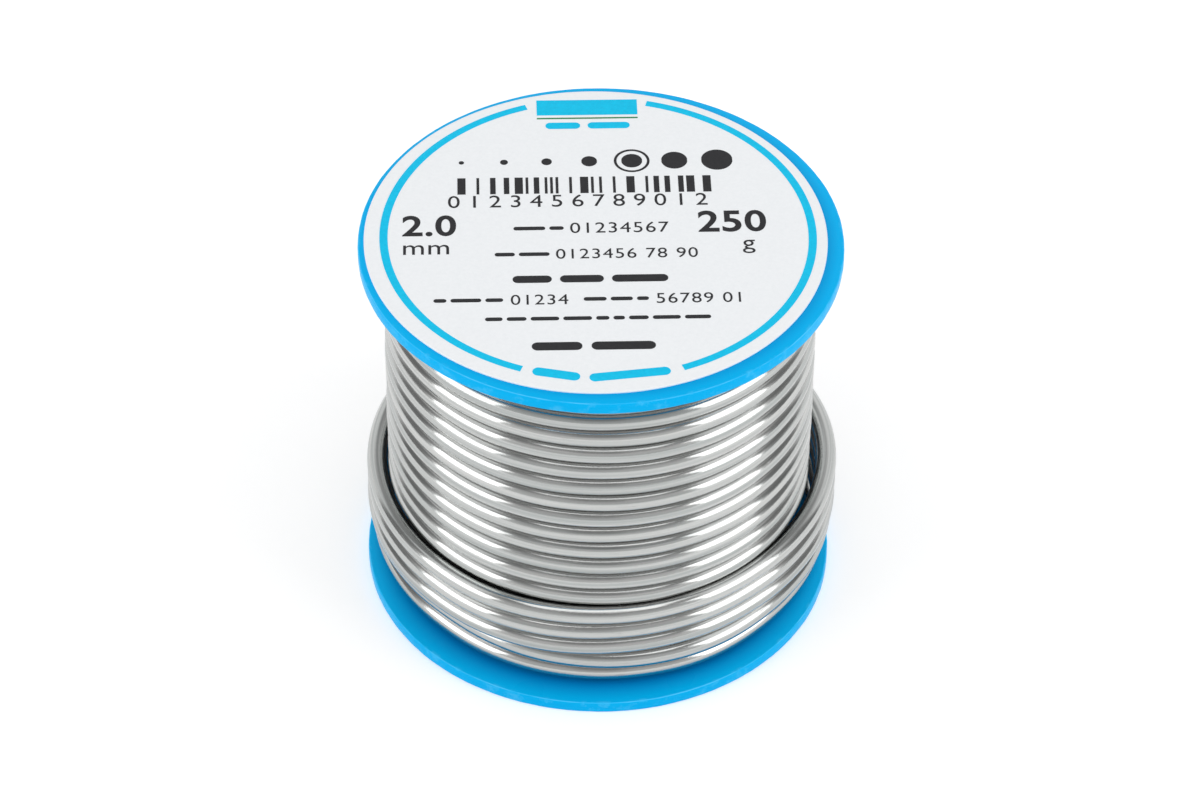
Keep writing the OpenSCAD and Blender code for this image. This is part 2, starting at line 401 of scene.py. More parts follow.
angles = np.linspace(0, 2 * np.pi, 144, endpoint=False)
heights = np.linspace(layers_low.z, layers_high.z, 220)
grid_a, grid_z = np.meshgrid(angles, heights, indexing="ij")
outer_r = np.minimum(ribbed_radius(grid_a, grid_z), VISIBLE_R - LAYER_STEP + WIRE_R)
ends_r = np.full((len(angles), 1), BARREL_R + 0.1 * MM)
sleeve_r = np.hstack([ends_r, outer_r, ends_r])
sleeve_z = np.hstack([grid_z[:, :1], grid_z, grid_z[:, -1:]])
sleeve_a = np.repeat(angles[:, None], sleeve_r.shape[1], axis=1)
sleeve = np.stack([sleeve_r * np.cos(sleeve_a), sleeve_r * np.sin(sleeve_a), sleeve_z], axis=-1)
sleeve_faces = grid_faces(*sleeve.shape[:2], close_rows=True, close_cols=True)
layers = make_piece("wound_layers", [shell(sleeve, sleeve_faces)])
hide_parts("inner_layers")

# %% [markdown]
# ## The spool's halves
# A moulded flange is a turned shape, so each half is a closed profile of (radius, height) points
# swept round the axis. The rim is where the light catches: its edges are only about 0.15 mm
# round, and a moulding's edge is never perfectly even, so the rim's radius wanders by a few
# hundredths of a millimetre on the way round. That breaks up the thin line of light along it.

# %% Turned shapes
TURN_STEPS = 480


def arc(cx, cz, radius, start_deg, stop_deg, steps=5):
    """Points of an arc: (cx + radius cos a, cz + radius sin a)."""
    a = np.radians(np.linspace(start_deg, stop_deg, steps))
    return np.stack([cx + radius * np.cos(a), cz + radius * np.sin(a)], axis=-1)


def rim_wander(angle, seed):
    """A few hundredths of a millimetre of waviness: a sum of sines of unrelated frequencies."""
    rng = np.random.default_rng(seed)
    freqs = np.array([3, 7, 13, 29, 53, 97, 149])
    heights = np.array([0.010, 0.008, 0.006, 0.006, 0.005, 0.004, 0.003]) * MM
    phases = rng.uniform(0, 2 * np.pi, len(freqs))
    return (heights[:, None] * np.sin(freqs[:, None] * angle + phases[:, None])).sum(axis=0)


def turned(profile, seed=None, steps=TURN_STEPS):
    """A closed profile swept round the axis; points past 99 % of the flange's radius wander."""
    a = np.linspace(0, 2 * np.pi, steps, endpoint=False)
    r = np.repeat(profile[None, :, 0], steps, axis=0)
    z = np.repeat(profile[None, :, 1], steps, axis=0)
    if seed is not None:
        r = r - np.where(r > 0.99 * FLANGE_R, rim_wander(a, seed)[:, None], 0)
    points = np.stack([r * np.cos(a)[:, None], r * np.sin(a)[:, None], z], axis=-1)
    return shell(points, grid_faces(steps, len(profile), close_rows=True, close_cols=True))


# %% Profile of the upper half
RIM_EDGE = 0.16 * MM
ROOT_R = 0.35 * MM
SPIGOT_R = BARREL_R - 0.75 * MM - FIT_GAP / 2
SPIGOT_L = 3.0 * MM


def rim(z0, z1):
    """The rim's outside from its lower to its upper face, with both edges rounded."""
    r = FLANGE_R - RIM_EDGE
    return np.vstack([arc(r, z0 + RIM_EDGE, RIM_EDGE, -90, 0), arc(r, z1 - RIM_EDGE, RIM_EDGE, 0, 90)])


under = SPOOL_H - FLANGE_T
upper_profile = np.vstack([
    [[BARREL_IN_R, under]],
    [[BARREL_IN_R, SPLIT_H + SPIGOT_L + FIT_GAP]],
    [[SPIGOT_R + FIT_GAP, SPLIT_H + SPIGOT_L + FIT_GAP]],
    [[SPIGOT_R + FIT_GAP, SPLIT_H]],
    [[BARREL_R, SPLIT_H]],
    arc(BARREL_R + ROOT_R, under - ROOT_R, ROOT_R, 180, 90),
    rim(under, SPOOL_H),
    [[ARBOR_R + FIT_GAP, SPOOL_H]],
    [[ARBOR_R + FIT_GAP, under]],
])
spool_top = make_piece("spool_top", [turned(upper_profile, seed=4)])
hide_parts("upper_half")

# %% Profile of the lower half
RIB_COUNT = 6
RIB_T = 1.2 * MM
RIB_INSET = 1.0 * MM

lower_profile = np.vstack([
    [[BARREL_IN_R, SPLIT_H + SPIGOT_L]],
    [[BARREL_IN_R, 0.2 * MM]],
    [[BARREL_IN_R + 0.2 * MM, 0]],
    rim(0, FLANGE_T),
    arc(BARREL_R + ROOT_R, FLANGE_T + ROOT_R, ROOT_R, 270, 180),
    [[BARREL_R, SPLIT_H]],
    [[SPIGOT_R, SPLIT_H]],
    [[SPIGOT_R, SPLIT_H + SPIGOT_L]],
])
arbor_profile = np.vstack([
    arc(BORE_R + 0.2 * MM, 0.2 * MM, 0.2 * MM, 180, 270),
    arc(ARBOR_R - 0.2 * MM, 0.2 * MM, 0.2 * MM, 270, 360),
    [[ARBOR_R, SPOOL_H - 0.02 * MM]],
    [[BORE_R, SPOOL_H - 0.02 * MM]],
])


# %% Ribs between arbor tube and barrel
def rib(angle):
    """A bar with rounded lower edges, from inside the tube's wall to inside the barrel's wall."""
    edge = 0.25 * MM
    half = RIB_T / 2
    section = np.vstack([
        arc(-half + edge, RIB_INSET + edge, edge, 180, 270),
        arc(half - edge, RIB_INSET + edge, edge, 270, 360),
        [[half, SPLIT_H], [-half, SPLIT_H]],
    ])
    middle = np.repeat(section.mean(axis=0)[None], len(section), axis=0)
    across, height = np.moveaxis(np.stack([middle, section, section, middle]), -1, 0)
    start, stop = ARBOR_R - 0.3 * MM, BARREL_IN_R + 0.3 * MM
    reach = np.repeat(np.array([start, start, stop, stop])[:, None], len(section), axis=1)
    c, s = math.cos(angle), math.sin(angle)
    points = np.stack([c * reach - s * across, s * reach + c * across, height], axis=-1)
    return shell(points, grid_faces(4, len(section), close_cols=True))


ribs = [rib(2 * math.pi * k / RIB_COUNT) for k in range(RIB_COUNT)]
spool_base = make_piece("spool_base", [turned(lower_profile, seed=9), turned(arbor_profile)] + ribs)
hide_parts("lower_half")

# %% [markdown]
# ## The paper disc
# A paper label is thin, but not perfectly flat: where it was pressed down it follows the flange,
# and its cut edge is a little soft. The disc is a turned profile with a rounded upper edge, and
# its surface rises and falls by a few microns, enough for the gloss to vary over it.

# %% Build the paper disc
def paper_height(x, y):
    """Height over the flat disc: two slow waves, a few microns high."""
    return 4e-6 * np.sin(310 * x + 1.3) * np.cos(270 * y - 0.4) + 2e-6 * np.sin(900 * x - 700 * y)


def paper_disc():
    """Rings from the middle of the underside round the edge to the middle of the top."""
    thick = LABEL_TOP - SPOOL_H
    edge = 0.05 * MM
    under_r = np.array([0.0, LABEL_R])
    edge_arc = arc(LABEL_R - edge, LABEL_TOP - edge, edge, 0, 90, 4)
    top_r = np.linspace(LABEL_R - 0.3 * MM, 0, 40)
    r = np.concatenate([under_r, edge_arc[:, 0], top_r])
    z = np.concatenate([[SPOOL_H, SPOOL_H], edge_arc[:, 1], np.full(len(top_r), LABEL_TOP)])
    a = np.linspace(0, 2 * np.pi, 256, endpoint=False)[:, None]
    x, y = LABEL_X + r * np.cos(a), LABEL_Y + r * np.sin(a)
    on_top = (np.arange(len(r)) >= len(r) - len(top_r))
    fade = np.clip((LABEL_R - r) / (2 * MM), 0, 1)
    z = z + np.where(on_top, fade * paper_height(x, y) - 2e-6, 0)
    print(f"paper disc {2 * LABEL_R / MM:.1f} mm across, {thick / MM:.2f} mm thick")
    return shell(np.stack([x, y, z], axis=-1), grid_faces(len(a), len(r), close_rows=True))


label = make_piece("paper_disc", [paper_disc()])
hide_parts("label")

# %% [markdown]
# ## The print
# The print is an ink film: flat shapes, a hundredth of a millimetre thick, on the paper. Real
# labels name a maker and a product, and those words are left out. Their places hold plain
# things of like weight: a block, a row of discs like a wire gauge with a ring round one, a row
# of upright bars, rows of dashes in place of words, digits in rising order, and two plain
# numbers, the wire's diameter and its weight, with their units.
#
# Every mark but the numbers is a band between two edges. All positions are millimetres from the
# print's middle, which lies a little off the spool's axis, and the whole print is turned by two
# degrees.

# %% Ink shapes
PRINT_X = -0.27 * MM
PRINT_Y = 0.60 * MM
PRINT_TURN = math.radians(2.1)
INK_Z = LABEL_TOP + 0.012 * MM
INK_T = 0.01 * MM


def on_label(xy):
    """From the print's own plane, in mm, to the row frame: turned, moved and scaled to metres."""
    c, s = math.cos(PRINT_TURN), math.sin(PRINT_TURN)
    x, y = np.moveaxis(np.asarray(xy, float) * MM, -1, 0)
    return np.stack([PRINT_X + c * x - s * y, PRINT_Y + s * x + c * y], axis=-1)


def film(outline_in, outline_out):
    """Points of a band of ink between two outlines of equal length: four edges, row by row."""
    a, b = on_label(outline_in), on_label(outline_out)
    low, high = INK_Z - INK_T, INK_Z
    edges = ((a, low), (b, low), (b, high), (a, high))
    return np.stack([np.column_stack([p, np.full(len(p), z)]) for p, z in edges], axis=1)


def band(outline_in, outline_out, closed):
    """A closed thin shell: the film, run together or with its two ends drawn to a point."""
    points = film(outline_in, outline_out)
    if closed:
        return shell(points, grid_faces(len(points), 4, close_rows=True, close_cols=True))
    middle = points.mean(axis=1, keepdims=True).repeat(4, axis=1)
    points = np.concatenate([middle[:1], points, middle[-1:]])
    return shell(points, grid_faces(len(points), 4, close_cols=True))


def block(x0, x1, y0, y1):
    """A filled bar, as a band between its lower and its upper edge."""
    xs = np.linspace(x0, x1, 3)
    return band(np.column_stack([xs, np.full(3, y0)]), np.column_stack([xs, np.full(3, y1)]), False)


def ring_arc(r0, r1, start_deg, stop_deg, steps=120):
    """A band of ink along an arc."""
    a = np.radians(np.linspace(start_deg, stop_deg, steps))
    way = np.column_stack([np.cos(a), np.sin(a)])
    return band(r0 * way, r1 * way, False)


# %% Words as rows of dashes
def dash_edges(length, high, steps=7):
    """Lower and upper edge of a dash with half-round ends: half height r sin t, r (1 - cos t) in."""
    r = high / 2
    t = np.linspace(0.2, np.pi / 2, steps)
    x = np.concatenate([r - r * np.cos(t), length - r + r * np.cos(t[::-1])])
    half = r * np.sin(np.concatenate([t, t[::-1]]))
    return np.column_stack([x, -half]), np.column_stack([x, half])


def dash_row(x0, x1, high, seed):
    """(start, length) of dashes of uneven lengths that fill x0..x1 with even gaps."""
    rng = np.random.default_rng(seed)
    gap = 0.75 * high
    count = max(2, round((x1 - x0 + gap) / (4.2 * high + gap)))
    lengths = rng.uniform(1.0, 2.6, count)
    lengths *= (x1 - x0 - (count - 1) * gap) / lengths.sum()
    starts = x0 + np.concatenate([[0], np.cumsum(lengths[:-1] + gap)])
    return list(zip(starts, lengths))


def word_row(x0, x1, y, high, seed):
    """A straight row of dashes whose middle line is at y."""
    return [band(*(edge + [start, y] for edge in dash_edges(length, high)), False)
            for start, length in dash_row(x0, x1, high, seed)]


def gauge_row(x0, x1, y, diameters, picked):
    """Discs of growing wire diameters, in mm, with evenly spaced middles, and a ring round one."""
    shells = []
    for x, d in zip(np.linspace(x0, x1, len(diameters)), diameters):
        shells.append(band(*(edge + [x - d / 2, y] for edge in dash_edges(d, d, 14)), False))
        if d == picked:
            a = np.linspace(0, 2 * np.pi, 64, endpoint=False)
            way = np.column_stack([np.cos(a), np.sin(a)])
            shells.append(band([x, y] + (d / 2 + 0.45) * way, [x, y] + (d / 2 + 0.7) * way, True))
    return shells


def bar_row(x0, x1, y0, y1, seed):
    """Upright bars of one to three units with gaps of one to four: no code stands behind them."""
    rng = np.random.default_rng(seed)
    unit = (x1 - x0) / 95
    shells, x = [], x0
    while x < x1 - 4 * unit:
        w = unit * rng.integers(1, 4)
        shells.append(block(x, x + w, y0, y1))
        x += w + unit * rng.integers(1, 5)
    return shells


# %% Numbers
def number(text, height, x, y, spacing=1.0, weight=0.0):
    """Plain digits as a filled outline: Blender's own font, scaled to height, lower left at (x, y)."""
    curve = bpy.data.curves.new("digits", "FONT")
    curve.body = text
    curve.space_character = spacing
    curve.offset = weight
    curve.resolution_u = 6
    holder = bpy.data.objects.new("digits", curve)
    bpy.context.scene.collection.objects.link(holder)
    graph = bpy.context.evaluated_depsgraph_get()
    mesh = bpy.data.meshes.new_from_object(holder.evaluated_get(graph))
    flat = np.array([v.co[:2] for v in mesh.vertices])
    faces = [list(p.vertices) for p in mesh.polygons]
    bpy.data.objects.remove(holder)
    low = flat.min(axis=0)
    scale = height / (flat[:, 1].max() - low[1])
    return (flat - low) * scale + np.array([x, y]), faces


def ink_digits(name, items):
    """One piece from several numbers: each face doubled below, with walls along its open edges."""
    points, faces, first = [], [], 0
    for flat, flat_faces in items:
        xy = on_label(flat)
        points.append(np.column_stack([xy, np.full(len(xy), INK_Z)]))
        faces += [[v + first for v in f] for f in flat_faces]
        first += len(xy)
    mesh = bpy.data.meshes.new(name)
    mesh.from_pydata(np.vstack(points).tolist(), [], faces)
    piece = bpy.data.objects.new(name, mesh)
    bpy.context.scene.collection.objects.link(piece)
    film_mod = piece.modifiers.new("film", "SOLIDIFY")
    film_mod.thickness = INK_T
    film_mod.offset = -1
    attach(piece, "root")
    print(f"{name}: {len(mesh.polygons)} faces")
    return piece


# %% Lay out the print
RING_IN, RING_OUT = 19.65, 20.42
cyan_shapes = [
    ring_arc(RING_IN, RING_OUT, 108.6, 248.1, 220),
    ring_arc(RING_IN, RING_OUT, -69.1, 75.0, 220),
    block(-5.4, 4.3, 17.7, 20.0),
]
cyan_shapes += word_row(-4.6, 3.5, 16.1, 0.95, seed=3)
green_shapes = [block(-5.4, 4.3, 17.12, 17.32)]
dark_shapes = gauge_row(-12.7, 11.6, 10.7, (0.5, 0.75, 1.0, 1.5, 2.0, 2.5, 3.0), picked=2.0)
dark_shapes += bar_row(-13.1, 11.4, 6.0, 8.4, seed=5)
for x0, x1, y, high, seed in (
    (-7.9, -3.2, 0.95, 0.5, 31),
    (-9.7, -4.6, -2.75, 0.5, 32),
    (-8.1, 6.3, -6.3, 1.0, 33),
    (-15.4, -9.0, -9.15, 0.5, 34),
    (-1.6, 4.4, -9.15, 0.5, 37),
    (-10.7, 10.0, -11.8, 0.5, 35),
    (-6.5, 4.8, -15.6, 1.1, 36),
):
    dark_shapes += word_row(x0, x1, y, high, seed)
print(f"{len(cyan_shapes)} cyan, {len(green_shapes)} green and {len(dark_shapes)} dark marks")


# %% Words that follow the ring
def curved_row(radius, high, start_deg, stop_deg, seed):
    """A row of dashes bent round an arc: (x, y) goes to radius + y, at the angle x / radius."""
    shells = []
    for start, length in dash_row(0, math.radians(stop_deg - start_deg) * radius, high, seed):
        edges = []
        for edge in dash_edges(length, high):
            a = math.radians(start_deg) + (edge[:, 0] + start) / radius
            edges.append((radius + edge[:, 1])[:, None] * np.column_stack([np.cos(a), np.sin(a)]))
        shells.append(band(*edges, False))
    return shells


cyan_shapes += curved_row(19.9, 1.1, -109.0, -72.5, seed=8)
ink_cyan = make_piece("print_cyan", cyan_shapes)
ink_green = make_piece("print_green", green_shapes)
ink_dark = make_piece("print_dark", dark_shapes)
numbers = [
    number("2.0", 3.0, -18.3, 0.0, 1.05, 0.02),
    number("mm", 1.35, -18.2, -2.6, 1.05),
    number("250", 3.1, 9.4, 0.1, 1.05, 0.02),
    number("g", 1.9, 13.4, -3.0),
    number("0 1 2 3 4 5 6 7 8 9 0 1 2", 1.75, -14.0, 4.05, 1.0),
    number("01234567", 1.5, -2.6, 0.2, 1.1),
    number("0123456 78 90", 1.4, -4.0, -3.45, 1.1),
    number("01234", 1.4, -8.3, -9.85, 1.1),
    number("56789 01", 1.4, 5.1, -9.85, 1.1),
]
ink_numbers = ink_digits("print_numbers", numbers)

# %% [markdown]
# ## Materials
# Small helpers first: one makes a material with its Principled shader, one adds a noise texture
# on given coordinates, one a bump. Object coordinates are metres here, because every piece sits
# at the origin, so a noise scale of 1000 has features of about a millimetre.

# %% Material helpers
def new_material(name):
    """A material with its nodes, its links and its Principled shader."""
    material = bpy.data.materials.new(name)
    material.use_nodes = True
    nodes, links = material.node_tree.nodes, material.node_tree.links
    return material, nodes, links, nodes["Principled BSDF"]


def stretched(nodes, links, source, scale):
    """Coordinates multiplied by a vector, so that a pattern is drawn out along one direction."""
    mapping = nodes.new("ShaderNodeMapping")
    mapping.inputs["Scale"].default_value = scale
    links.new(source, mapping.inputs["Vector"])
    return mapping.outputs["Vector"]


def noise(nodes, links, source, scale=1.0, detail=3.0, roughness=0.5):
    """The value of a noise texture at the given coordinates."""
    texture = nodes.new("ShaderNodeTexNoise")
    texture.inputs["Scale"].default_value = scale
    texture.inputs["Detail"].default_value = detail
    texture.inputs["Roughness"].default_value = roughness
    links.new(source, texture.inputs["Vector"])
    return texture.outputs["Fac"]


def spread(nodes, links, value, low, high, to_low, to_high):
    """Maps low..high to to_low..to_high and holds it at the ends."""
    node = nodes.new("ShaderNodeMapRange")
    limits = {"From Min": low, "From Max": high, "To Min": to_low, "To Max": to_high}
    for key, limit in limits.items():
        node.inputs[key].default_value = limit
    links.new(value, node.inputs["Value"])
    return node.outputs["Result"]


def two_tone(nodes, links, value, colour_a, colour_b):
    """A colour between two, by value; each is a tuple or comes from another node."""
    mix = nodes.new("ShaderNodeMix")
    mix.data_type = "RGBA"
    for socket, colour in ((mix.inputs[6], colour_a), (mix.inputs[7], colour_b)):
        if isinstance(colour, tuple):
            socket.default_value = (*colour, 1)
        else:
            links.new(colour, socket)
    links.new(value, mix.inputs[0])
    return mix.outputs[2]


def bump(nodes, links, shader, value, distance, strength=1.0, under=None):
    """Adds a bump of that many metres to the shader, over another bump if given."""
    node = nodes.new("ShaderNodeBump")
    node.inputs["Distance"].default_value = distance
    node.inputs["Strength"].default_value = strength
    links.new(value, node.inputs["Height"])
    if under is not None:
        links.new(under, node.inputs["Normal"])
    links.new(node.outputs["Normal"], shader.inputs["Normal"])
    return node.outputs["Normal"]


def combine(nodes, links, operation, a, b):
    """A Math node on two values, or on a value and a number."""
    node = nodes.new("ShaderNodeMath")
    node.operation = operation
    for socket, value in zip(node.inputs, (a, b)):
        if isinstance(value, (int, float)):
            socket.default_value = value
        else:
            links.new(value, socket)
    return node.outputs[0]


# %% [markdown]
# ### Solder
# Solder wire is drawn through a die, which leaves fine straight lines along it. They spread a
# reflection across the wire but keep it sharp along the wire, and that is the whole character
# of the finish: bright lamps end crisply, and thin dark and light lines run beside them. The
# lines are noise stretched along the wire's UV length, used as a shallow bump. Dull specks and
# streaks of two close tones keep it from looking like chrome. In the grooves between tight turns
# the colour goes towards the darker, duller tone: painted shade. The sleeve of inner turns, seen
# only through the gap behind the loose turns, and the wire's start are a darker, duller copy of
# the solder: painted shade, where the real wire is the same metal in shadow.

# %% Solder finish
# The duller tone below stands for real dull specks, and in the grooves between tight turns for painted
# shade.
DULL_AND_SHADED_SOLDER = (0.36, 0.36, 0.355)


def solder_material(name, coordinates, line_scale, speck_scale, tones, metal, gloss, across=0.0):
    """Drawn metal of two close tones, whose lines run along the first of the given coordinates."""
    material, nodes, links, shader = new_material(name)
    source = nodes.new("ShaderNodeTexCoord").outputs[coordinates]

    def drawn_out(scale, share, detail, roughness):
        """Noise stretched along the wire, at a share of the given scale."""
        shares = tuple(v * share for v in scale)
        return noise(nodes, links, stretched(nodes, links, source, shares), 1.0, detail, roughness)

    fine = drawn_out(line_scale, 1.0, 2.0, 0.55)
    broad = drawn_out(line_scale, 0.28, 1.0, 0.5)
    streaks = spread(nodes, links, drawn_out(line_scale, 0.22, 3.0, 0.6), 0.36, 0.62, 0.0, 1.0)
    speck = spread(nodes, links, drawn_out(speck_scale, 1.0, 3.0, 0.6), 0.63, 0.73, 0.0, 1.0)
    slow = noise(nodes, links, source, 220.0, 2.0)
    clean = two_tone(nodes, links, streaks, *tones)
    specks_and_groove_shade = combine(nodes, links, "MULTIPLY", speck, 0.5)
    # Painted shade: the groove attribute pulls the base colour towards the darker, duller tone between tight
    # turns, where less light reaches.
    if across:
        groove = nodes.new("ShaderNodeAttribute")
        groove.attribute_name = "groove"
        specks_and_groove_shade = combine(nodes, links, "MAXIMUM", specks_and_groove_shade, groove.outputs["Fac"])
    links.new(two_tone(nodes, links, specks_and_groove_shade, clean, DULL_AND_SHADED_SOLDER), shader.inputs["Base Color"])
    shader.inputs["Metallic"].default_value = metal
    rough = spread(nodes, links, slow, 0.3, 0.7, gloss, gloss + 0.04)
    rougher = combine(nodes, links, "ADD", rough, combine(nodes, links, "MULTIPLY", speck, 0.15))
    links.new(rougher, shader.inputs["Roughness"])
    if across:
        tangent = nodes.new("ShaderNodeTangent")
        tangent.direction_type = "UV_MAP"
        tangent.uv_map = "along_wire"
        links.new(tangent.outputs[0], shader.inputs["Tangent"])
        shader.inputs["Anisotropic"].default_value = across
        shader.inputs["Anisotropic Rotation"].default_value = 0.25
    lines = bump(nodes, links, shader, fine, 0.004 * MM)
    bump(nodes, links, shader, broad, 0.015 * MM, under=lines)
    return material


bright = ((0.40, 0.42, 0.415), (0.565, 0.57, 0.56))
shaded = ((0.10, 0.10, 0.10), (0.14, 0.14, 0.14))
solder = solder_material(
    "drawn_solder", "UV", (45.0, 9000.0, 1.0), (350.0, 3500.0, 1.0), bright, 1.0, 0.14, across=0.65
)
# Painted shade: the inner layers and the wire's start take a darker, duller copy of the solder, for the
# shade in the gap.
solder_in_painted_shade = solder_material(
    "painted_shade_solder", "Object", (900.0, 900.0, 5000.0), (900.0, 900.0, 900.0), shaded, 0.3, 0.6
)
winding.data.materials.append(solder)
layers.data.materials.append(solder_in_painted_shade)
start_node = frame["nodes"]["wire_start"]
start_node.data.materials.clear()
start_node.data.materials.append(solder_in_painted_shade)

# %% Resin finish
resin_material, nodes, links, shader = new_material("amber_resin")
source = nodes.new("ShaderNodeTexCoord").outputs["Object"]
cloud = noise(nodes, links, source, 6000.0, 3.0)
links.new(two_tone(nodes, links, cloud, (0.42, 0.20, 0.04), (0.62, 0.36, 0.10)), shader.inputs["Base Color"])
shader.inputs["Roughness"].default_value = 0.25
bump(nodes, links, shader, cloud, 0.004 * MM)
resin.data.materials.append(resin_material)

# %% [markdown]
# ### Blue plastic
# Moulded polystyrene: one strong colour all through, a satin gloss, and a very fine grain from
# the tool's surface. Handling leaves the rim a little paler and duller, in patches, so the
# distance from the axis picks out the rim and a noise breaks it up. The rounded upper edge of the
# rim, picked out by its slope, has a thin broken paler line: a painted highlight, where the edge
# catches the light. Towards the winding the colour is deeper: painted shade, where the wire keeps
# light off the flange.

# %% Plastic finish
def plastic_material():
    """Satin blue with a fine grain, painted shade near the winding, a scuffed rim and a painted edge
    highlight.
    """
    material, nodes, links, shader = new_material("blue_plastic")
    source = nodes.new("ShaderNodeTexCoord").outputs["Object"]
    slow = noise(nodes, links, source, 90.0, 2.0)
    grain = noise(nodes, links, source, 9000.0, 2.0)
    outer = two_tone(nodes, links, slow, (0.0, 0.42, 0.83), (0.0, 0.45, 0.88))
    flat = nodes.new("ShaderNodeVectorMath")
    flat.operation = "MULTIPLY"
    flat.inputs[1].default_value = (1, 1, 0)
    links.new(source, flat.inputs[0])
    length = nodes.new("ShaderNodeVectorMath")
    length.operation = "LENGTH"
    links.new(flat.outputs[0], length.inputs[0])
    reach = length.outputs["Value"]
    # Painted shade: the base colour deepens towards the winding, where the wire keeps light off the flange.
    inside = spread(nodes, links, reach, FLANGE_R - 2.6 * MM, FLANGE_R - 0.5 * MM, 1.0, 0.0)
    body = two_tone(nodes, links, inside, outer, (0.0, 0.22, 0.58))
    at_rim = spread(nodes, links, reach, FLANGE_R - 0.35 * MM, FLANGE_R - 0.08 * MM, 0.0, 1.0)
    patches = spread(nodes, links, noise(nodes, links, source, 700.0, 4.0, 0.65), 0.52, 0.66, 0.0, 1.0)
    scuff = combine(nodes, links, "MULTIPLY", at_rim, patches)
    # Painted highlight: a paler line on the sloped part of the rim's rounded upper edge, where it catches
    # the light.
    facing = nodes.new("ShaderNodeSeparateXYZ")
    links.new(nodes.new("ShaderNodeNewGeometry").outputs["Normal"], facing.inputs[0])
    rising = spread(nodes, links, facing.outputs["Z"], 0.35, 0.6, 0.0, 1.0)
    falling = spread(nodes, links, facing.outputs["Z"], 0.8, 0.97, 1.0, 0.0)
    sloped = combine(nodes, links, "MULTIPLY", rising, falling)
    edge = combine(nodes, links, "MULTIPLY", sloped, at_rim)
    broken = spread(nodes, links, noise(nodes, links, source, 260.0, 3.0, 0.6), 0.4, 0.6, 0.2, 0.85)
    painted_edge_highlight = combine(nodes, links, "MULTIPLY", edge, broken)
    scuff_and_painted_highlight = combine(nodes, links, "MAXIMUM", combine(nodes, links, "MULTIPLY", scuff, 0.45), painted_edge_highlight)
    links.new(two_tone(nodes, links, scuff_and_painted_highlight, body, (0.09, 0.56, 0.93)), shader.inputs["Base Color"])
    satin = spread(nodes, links, slow, 0.3, 0.7, 0.26, 0.34)
    rubbed = combine(nodes, links, "MULTIPLY", scuff, 0.2)
    links.new(combine(nodes, links, "ADD", satin, rubbed), shader.inputs["Roughness"])
    shader.inputs["Specular IOR Level"].default_value = 0.06
    bump(nodes, links, shader, grain, 0.0015 * MM)
    return material


plastic = plastic_material()
for piece in (spool_top, spool_base):
    piece.data.materials.append(plastic)

# %% [markdown]
# ### Paper and ink
# The label is coated paper: nearly white, slightly cool, with the faint mottle that pressure and
# fibres leave under the coating. Ink has the paper's grain in its gloss, and a print is never a
# perfectly even colour.

# %% Paper and ink finishes
def paper_material(name, colour_a, colour_b, gloss, shine):
    """Coated paper, or ink on it: two close tones by a fine mottle, with a shallow grain."""
    material, nodes, links, shader = new_material(name)
    source = nodes.new("ShaderNodeTexCoord").outputs["Object"]
    mottle = noise(nodes, links, source, 3200.0, 4.0, 0.6)
    tone = spread(nodes, links, mottle, 0.3, 0.7, 0.0, 1.0)
    links.new(two_tone(nodes, links, tone, colour_a, colour_b), shader.inputs["Base Color"])
    links.new(spread(nodes, links, mottle, 0.3, 0.7, gloss, gloss + 0.12), shader.inputs["Roughness"])
    shader.inputs["Specular IOR Level"].default_value = shine
    bump(nodes, links, shader, mottle, 0.004 * MM)
    return material


paper = paper_material("coated_paper", (0.845, 0.868, 0.89), (0.885, 0.905, 0.925), 0.42, 0.35)
cyan_ink = paper_material("cyan_ink", (0.0, 0.50, 0.80), (0.0, 0.58, 0.88), 0.35, 0.08)
green_ink = paper_material("green_ink", (0.02, 0.20, 0.07), (0.03, 0.26, 0.09), 0.35, 0.08)
dark_ink = paper_material("dark_ink", (0.022, 0.022, 0.025), (0.030, 0.030, 0.033), 0.35, 0.15)
for piece, finish in (
    (label, paper),
    (ink_cyan, cyan_ink),
    (ink_green, green_ink),
    (ink_dark, dark_ink),
    (ink_numbers, dark_ink),
):
    piece.data.materials.append(finish)

# %% [markdown]
# ## Studio
# Bright wire shows its surroundings more than itself, so the studio is built for its
# reflections. A soft lamp on each side gives the two white bands. Round the whole stands a room
# that only reflections see: a white backdrop behind, a dim front and a dark ceiling, which draw
# the calm greys between the bands, and a bright panel in the ceiling, which gives the thin line
# along the topmost loose turn. It casts no light, so that it changes little but the metal.

# %% Floor and world
FLOOR_GREY = 0.84
FLOOR_GLOW = 0.31
AMBIENT = 0.79


def seen_only(nodes, links, strength):
    """That strength for camera, glossy and transmission rays, and 0 for rays that light the object."""
    ray = nodes.new("ShaderNodeLightPath").outputs
    mirrored = combine(nodes, links, "MAXIMUM", ray["Is Glossy Ray"], ray["Is Transmission Ray"])
    seen = combine(nodes, links, "MAXIMUM", ray["Is Camera Ray"], mirrored)
    return combine(nodes, links, "MULTIPLY", seen, strength)


def stage_object(name, points, faces, material):
    """A part of the stage, which isn't part of the object."""
    mesh = bpy.data.meshes.new(name)
    mesh.from_pydata(np.asarray(points, float).tolist(), [], np.asarray(faces).tolist())
    mesh.materials.append(material)
    sheet = bpy.data.objects.new(name, mesh)
    bpy.context.scene.collection.objects.link(sheet)
    sheet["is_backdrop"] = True
    return sheet


